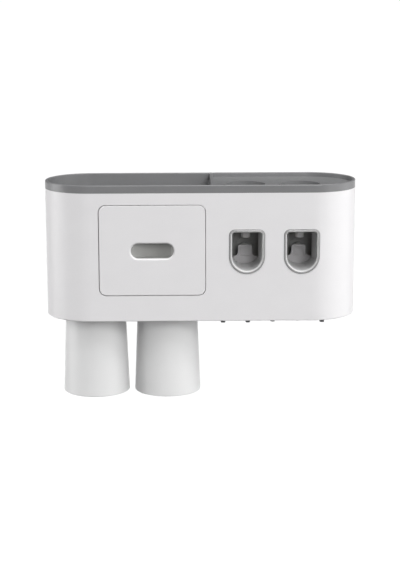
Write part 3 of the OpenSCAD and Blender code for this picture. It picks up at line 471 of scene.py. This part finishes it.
def screw_mesh(head_r, head_h, shank_r, length, around=32):
    """Pan-head screw along +Z: cross recess in the head, helical thread and a blunt point."""
    dome_h = head_h * 0.45
    dome = [(head_r * math.cos(a), length - dome_h + dome_h * math.sin(a))
            for a in (math.radians(9 * k) for k in range(10))]
    profile = [(shank_r, length - head_h), (head_r, length - head_h)] + dome
    rings = [[(r * math.cos(math.tau * k / around), r * math.sin(math.tau * k / around), z)
              for k in range(around)] for r, z in profile]
    bm = bmesh.new()
    capped(bm, rings)
    bmesh.ops.recalc_face_normals(bm, faces=bm.faces)
    head = bpy.data.meshes.new("screw_head")
    bm.to_mesh(head)
    bm.free()
    head = cross_recess(head, length, head_r * 0.5)
    bm = bmesh.new()
    bm.from_mesh(head)
    capped(bm, thread_rings(shank_r, length - head_h * 0.9))
    return mesh_of("screw", bm, 40)


# A screw's turn in radians for each mm of its place, and the limit at which it starts again
SCREW_SPIN = 37
SPIN_LIMIT = 3


def screws(node, kinds):
    """Real screws in the place of a node's plain ones; `kinds` keeps each size's mesh."""
    bm = bmesh.new()
    for points in islands(NODES[node].data):
        low = Vector(min(p[i] for p in points) for i in range(3))
        high = Vector(max(p[i] for p in points) for i in range(3))
        size = high - low
        middle = (low + high) / 2
        axis = max(range(3), key=lambda i: size[i])
        others = [i for i in range(3) if i != axis]
        off = [(math.hypot(*(p[i] - middle[i] for i in others)), p[axis]) for p in points]
        head_r = max(r for r, along in off)
        wide = [along for r, along in off if r > 0.97 * head_r]
        narrow = [r for r, along in off if 0.2 * head_r < r < 0.85 * head_r]
        shank_r = max(narrow) if narrow else head_r * 0.5
        head_h = max(wide) - min(wide)
        way = 1 if sum(wide) / len(wide) > middle[axis] else -1
        kind = tuple(round(v * 1e5) for v in (head_r, head_h, shank_r, size[axis]))
        if kind not in kinds:
            kinds[kind] = screw_mesh(head_r, head_h, shank_r, size[axis])
        up = Vector((0, 0, 0))
        up[axis] = way
        foot = middle.copy()
        foot[axis] = low[axis] if way > 0 else high[axis]
        one = bmesh.new()
        one.from_mesh(kinds[kind])
        spin = middle[others[0]] * SCREW_SPIN / MM % SPIN_LIMIT
        upright = up.to_track_quat("Z", "Y").to_matrix().to_4x4()
        turn = Matrix.Rotation(spin, 4, up) @ upright
        one.transform(Matrix.Translation(foot) @ turn)
        part = bpy.data.meshes.new("part")
        one.to_mesh(part)
        one.free()
        bm.from_mesh(part)
        bpy.data.meshes.remove(part)
    piece(node + "_cut", mesh_of(node + "_cut", bm, 40), SLOT_OF[node], BODY_OF[node], (node,))


# The splash guard's half width, how far its foot stands over the pump block's, and its gaps
GUARD = {"half_width": 19 * MM, "foot": 2 * MM, "gap": 0.2 * MM, "hole_gap": 0.15 * MM, "edge": 0.1 * MM}


def splash_guards(arc_steps=24):
    """Thin sheet round each pump body's round nose, which closes the pocket's back."""
    for side in SIDES:
        low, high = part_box(side + "_gland")
        block_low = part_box(side + "_pump_block")[0]
        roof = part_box(side + "_nozzle")[1][2] - GUARD["gap"]
        centre_x = (low[0] + high[0]) / 2
        centre_z = (low[2] + high[2]) / 2
        hole_r = (high[0] - low[0]) / 2 + GUARD["hole_gap"]
        half = GUARD["half_width"]
        foot = block_low[2] + GUARD["foot"]
        arch = [(-hole_r * math.cos(a), centre_z + hole_r * math.sin(a))
                for a in (math.pi * k / arc_steps for k in range(arc_steps + 1))]
        outline = [(-half, foot), (-hole_r, foot)] + arch
        outline += [(hole_r, foot), (half, foot), (half, roof), (-half, roof)]
        bm = bmesh.new()
        capped(bm, [[(centre_x + x, y, z) for x, z in outline] for y in (low[1], high[1] - GUARD["gap"])])
        obj = piece(side + "_splash_guard", mesh_of(side + "_splash_guard", bm), "block_grey",
                    BODY_OF[side + "_pump_block"])
        edge = obj.modifiers.new("edges", "BEVEL")
        edge.width = GUARD["edge"]
        edge.segments = 2


# The return spring: all its turns, the closed turns at each end, its wire's radius,
# and the pitch of the closed turns in wire radii
SPRING_TURNS = 6.5
END_TURNS = 0.75
WIRE_R = 0.34 * MM
CLOSED_PITCH = 2.1


def coil_height(done, start, end):
    """Where the wire's centre is along the axis after `done` turns."""
    closed = END_TURNS * CLOSED_PITCH * WIRE_R
    if done < END_TURNS:
        return start + closed * done / END_TURNS
    if done > SPRING_TURNS - END_TURNS:
        return end - closed * (SPRING_TURNS - done) / END_TURNS
    open_turns = SPRING_TURNS - 2 * END_TURNS
    return start + closed + (end - start - 2 * closed) * (done - END_TURNS) / open_turns


def coil_ring(turn, y, centre, radius, around=8):
    """Points round a coil's wire at one place, for a coil whose axis runs along Y."""
    ring = []
    for i in range(around):
        phase = math.tau * i / around
        reach = radius + WIRE_R * math.cos(phase)
        ring.append((centre[0] + reach * math.cos(turn), y + WIRE_R * math.sin(phase),
                     centre[1] + reach * math.sin(turn)))
    return ring


def return_springs(steps_per_turn=28):
    """Coil springs with closed ends, in the place of the plain spring parts."""
    steps = round(SPRING_TURNS * steps_per_turn)
    for side in SIDES:
        node = side + "_return_spring"
        low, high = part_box(node)
        centre = ((low[0] + high[0]) / 2, (low[2] + high[2]) / 2)
        radius = (high[0] - low[0]) / 2 - WIRE_R
        start = low[1] + WIRE_R
        end = high[1] - WIRE_R
        rings = []
        for k in range(steps + 1):
            done = SPRING_TURNS * k / steps
            rings.append(coil_ring(math.tau * done, coil_height(done, start, end), centre, radius))
        bm = bmesh.new()
        capped(bm, rings)
        coil = piece(side + "_spring_coil", mesh_of(side + "_spring_coil", bm, 60), SLOT_OF[node],
                     BODY_OF[node], (node,))
        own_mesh(coil)


# stage, camera and light
def floor():
    """A plain pale floor well below the part, which hangs from a wall."""
    half = 90.0
    z = -1.5
    steps = 6
    mesh = bpy.data.meshes.new("floor")
    places = [-half + 2 * half * i / steps for i in range(steps + 1)]
    verts = [(x, y, z) for y in places for x in places]
    n = steps + 1
    faces = [(r * n + c, r * n + c + 1, (r + 1) * n + c + 1, (r + 1) * n + c)
             for r in range(steps) for c in range(steps)]
    mesh.from_pydata(verts, [], faces)
    obj = bpy.data.objects.new("floor", mesh)
    SCENE.collection.objects.link(obj)
    g = Graph("floor_look")
    base = g.ramp(g.noise(0.4, 3.0), "Fac", (0.96, 0.96, 0.96), (0.98, 0.98, 0.98))
    g.link(base, "Color", g.bsdf, "Base Color")
    g.set(Roughness=0.9, Specular_IOR_Level=0.1)
    mesh.materials.append(g.mat)
    obj.visible_diffuse = False


# The photograph's camera: its place in metres, its angles in degrees, and its lens and frame in mm
CAMERA_PLACE = (-0.0257, -1.6294, 0.2951)
CAMERA_ANGLES = {"pitch": 12.04, "yaw": 0.91, "roll": -0.15}
LENS = 97.516
FRAME_HEIGHT = 36.0


def camera():
    """The photograph's camera, fitted to edges measured in the photograph."""
    pitch, yaw, roll = (math.radians(CAMERA_ANGLES[a]) for a in ("pitch", "yaw", "roll"))
    ahead = Vector((math.sin(yaw) * math.cos(pitch), math.cos(yaw) * math.cos(pitch), -math.sin(pitch)))
    right = ahead.cross(Vector((0, 0, 1))).normalized()
    up = right.cross(ahead)
    side = right * math.cos(roll) + up * math.sin(roll)
    top = up * math.cos(roll) - right * math.sin(roll)
    data = bpy.data.cameras.new("photo_camera")
    data.sensor_fit = "VERTICAL"
    data.sensor_height = FRAME_HEIGHT
    data.lens = LENS
    data.clip_start = 0.05
    data.clip_end = 200.0
    obj = bpy.data.objects.new("photo_camera", data)
    SCENE.collection.objects.link(obj)
    turn = Matrix((side, top, -ahead)).transposed().to_4x4()
    obj.matrix_world = Matrix.Translation(CAMERA_PLACE) @ turn
    SCENE.camera = obj


def lamp(name, kind, place, aim, power, size=None, size_y=None, angle=None):
    """A lamp aimed at a point: an area of size by size_y metres, or a sun `angle` degrees wide."""
    data = bpy.data.lights.new(name, kind)
    data.energy = power
    if size:
        data.shape = "RECTANGLE"
        data.size = size
        data.size_y = size_y
    if angle:
        data.angle = math.radians(angle)
    obj = bpy.data.objects.new(name, data)
    SCENE.collection.objects.link(obj)
    obj.visible_camera = False
    place = Vector(place)
    turn = (Vector(aim) - place).to_track_quat("-Z", "Y").to_matrix().to_4x4()
    obj.matrix_world = Matrix.Translation(place) @ turn
    return obj


def lights():
    """Soft studio light: suns from above and in front, boxes at the sides, panels behind and below."""
    world = bpy.data.worlds.new("studio")
    world.use_nodes = True
    tree = world.node_tree
    back = tree.nodes["Background"]
    back.inputs["Color"].default_value = (1, 1, 1, 1)
    back.inputs["Strength"].default_value = 0.06
    paper = tree.nodes.new("ShaderNodeBackground")
    paper.inputs["Color"].default_value = (1, 1, 1, 1)
    paper.inputs["Strength"].default_value = 1.0
    seen = tree.nodes.new("ShaderNodeLightPath")
    blend = tree.nodes.new("ShaderNodeMixShader")
    tree.links.new(seen.outputs["Is Camera Ray"], blend.inputs[0])
    tree.links.new(back.outputs[0], blend.inputs[1])
    tree.links.new(paper.outputs[0], blend.inputs[2])
    tree.links.new(blend.outputs[0], tree.nodes["World Output"].inputs["Surface"])
    SCENE.world = world
    aim = (0, -0.04, 0)
    lamp("overhead", "SUN", (0, 0.2, 3), (0, 0, 0), 1.27, angle=35)
    lamp("high_front", "SUN", (0.17, -0.47, 0.87), (0, 0, 0), 0.81, angle=26)
    lamp("high_right", "SUN", (0.38, -0.32, 0.87), (0, 0, 0), 0.72, angle=26)
    lamp("front", "SUN", (0.34, -0.94, 0.6), (0, 0, 0), 1.0, angle=22)
    lamp("low_front", "SUN", (0.15, -1, 0.24), (0, 0, 0), 0.62, angle=20)
    lamp("right_box", "AREA", (1.3, 0.0, 0.2), aim, 5.5, 0.9, 1.2)
    lamp("right_front_box", "AREA", (1.2, -0.9, 0.25), aim, 5.0, 0.8, 1.1)
    lamp("left_box", "AREA", (-1.3, 0.0, 0.2), aim, 11.3, 0.9, 1.2)
    lamp("back_panel", "AREA", (0, 2.0, 0.55), aim, 22, 3.2, 1.4).visible_glossy = False
    lamp("under_panel", "AREA", (0.0, 0.12, -1.3), (0, -0.02, -0.1), 4, 1.4, 0.6)
    SCENE.view_settings.view_transform = "Standard"
    SCENE.view_settings.look = "None"


window_rings()
splash_guards()
for node, width in SOFT_EDGES.items():
    softened(node, width * MM)
return_springs()
screw_kinds = {}
for node in NODES:
    if node.endswith("_screws"):
        screws(node, screw_kinds)
camera()
floor()
lights()
